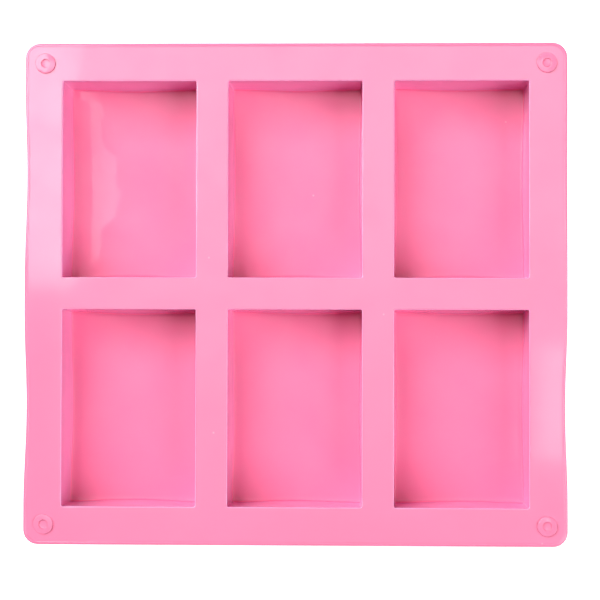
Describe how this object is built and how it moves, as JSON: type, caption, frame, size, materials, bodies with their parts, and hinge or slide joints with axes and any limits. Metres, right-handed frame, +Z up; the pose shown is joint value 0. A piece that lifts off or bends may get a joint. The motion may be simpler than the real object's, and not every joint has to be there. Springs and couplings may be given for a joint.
{
  "type": "soap mould",
  "caption": "Flexible silicone tray mould with rectangular cavities for bars of soap, a flat deck with a rim, corner bosses, and cup floors that press up to push the bars out.",
  "frame": {"origin": "centre of the footprint, on the table that the cups stand on", "axes": "+X along the long side, across the columns of cavities; +Y from the front row to the back row, along each cavity's length; +Z up, out of the cavities' mouths"},
  "size_m": [0.2206, 0.204, 0.0278],
  "materials": {
    "silicone_top": "satin pink silicone, smooth, softly glossy",
    "silicone_cup": "satin pink silicone of the cups, glossier inside the cavities"
  },
  "bodies": {
    "mould": {"deck": "silicone_top", "rim": "silicone_top", "corner_boss_front_left": "silicone_top", "corner_boss_front_right": "silicone_top", "corner_boss_back_left": "silicone_top", "corner_boss_back_right": "silicone_top", "cup_wall_front_left": "silicone_cup", "floor_border_front_left": "silicone_cup", "cup_wall_front_middle": "silicone_cup", "floor_border_front_middle": "silicone_cup", "cup_wall_front_right": "silicone_cup", "floor_border_front_right": "silicone_cup", "cup_wall_back_left": "silicone_cup", "floor_border_back_left": "silicone_cup", "cup_wall_back_middle": "silicone_cup", "floor_border_back_middle": "silicone_cup", "cup_wall_back_right": "silicone_cup", "floor_border_back_right": "silicone_cup"},
    "pad_front_left": {"press_pad_front_left": "silicone_cup"},
    "pad_front_middle": {"press_pad_front_middle": "silicone_cup"},
    "pad_front_right": {"press_pad_front_right": "silicone_cup"},
    "pad_back_left": {"press_pad_back_left": "silicone_cup"},
    "pad_back_middle": {"press_pad_back_middle": "silicone_cup"},
    "pad_back_right": {"press_pad_back_right": "silicone_cup"}
  },
  "joints": [
    {"name": "press_front_left", "type": "slide", "parent": "mould", "child": "pad_front_left", "axis": [0, 0, 1], "range_m": [0, 0.012], "stiffness_N_per_m": 400, "deforming": ["floor_border_front_left"]},
    {"name": "press_front_middle", "type": "slide", "parent": "mould", "child": "pad_front_middle", "axis": [0, 0, 1], "range_m": [0, 0.012], "stiffness_N_per_m": 400, "deforming": ["floor_border_front_middle"]},
    {"name": "press_front_right", "type": "slide", "parent": "mould", "child": "pad_front_right", "axis": [0, 0, 1], "range_m": [0, 0.012], "stiffness_N_per_m": 400, "deforming": ["floor_border_front_right"]},
    {"name": "press_back_left", "type": "slide", "parent": "mould", "child": "pad_back_left", "axis": [0, 0, 1], "range_m": [0, 0.012], "stiffness_N_per_m": 400, "deforming": ["floor_border_back_left"]},
    {"name": "press_back_middle", "type": "slide", "parent": "mould", "child": "pad_back_middle", "axis": [0, 0, 1], "range_m": [0, 0.012], "stiffness_N_per_m": 400, "deforming": ["floor_border_back_middle"]},
    {"name": "press_back_right", "type": "slide", "parent": "mould", "child": "pad_back_right", "axis": [0, 0, 1], "range_m": [0, 0.012], "stiffness_N_per_m": 400, "deforming": ["floor_border_back_right"]}
  ]
}
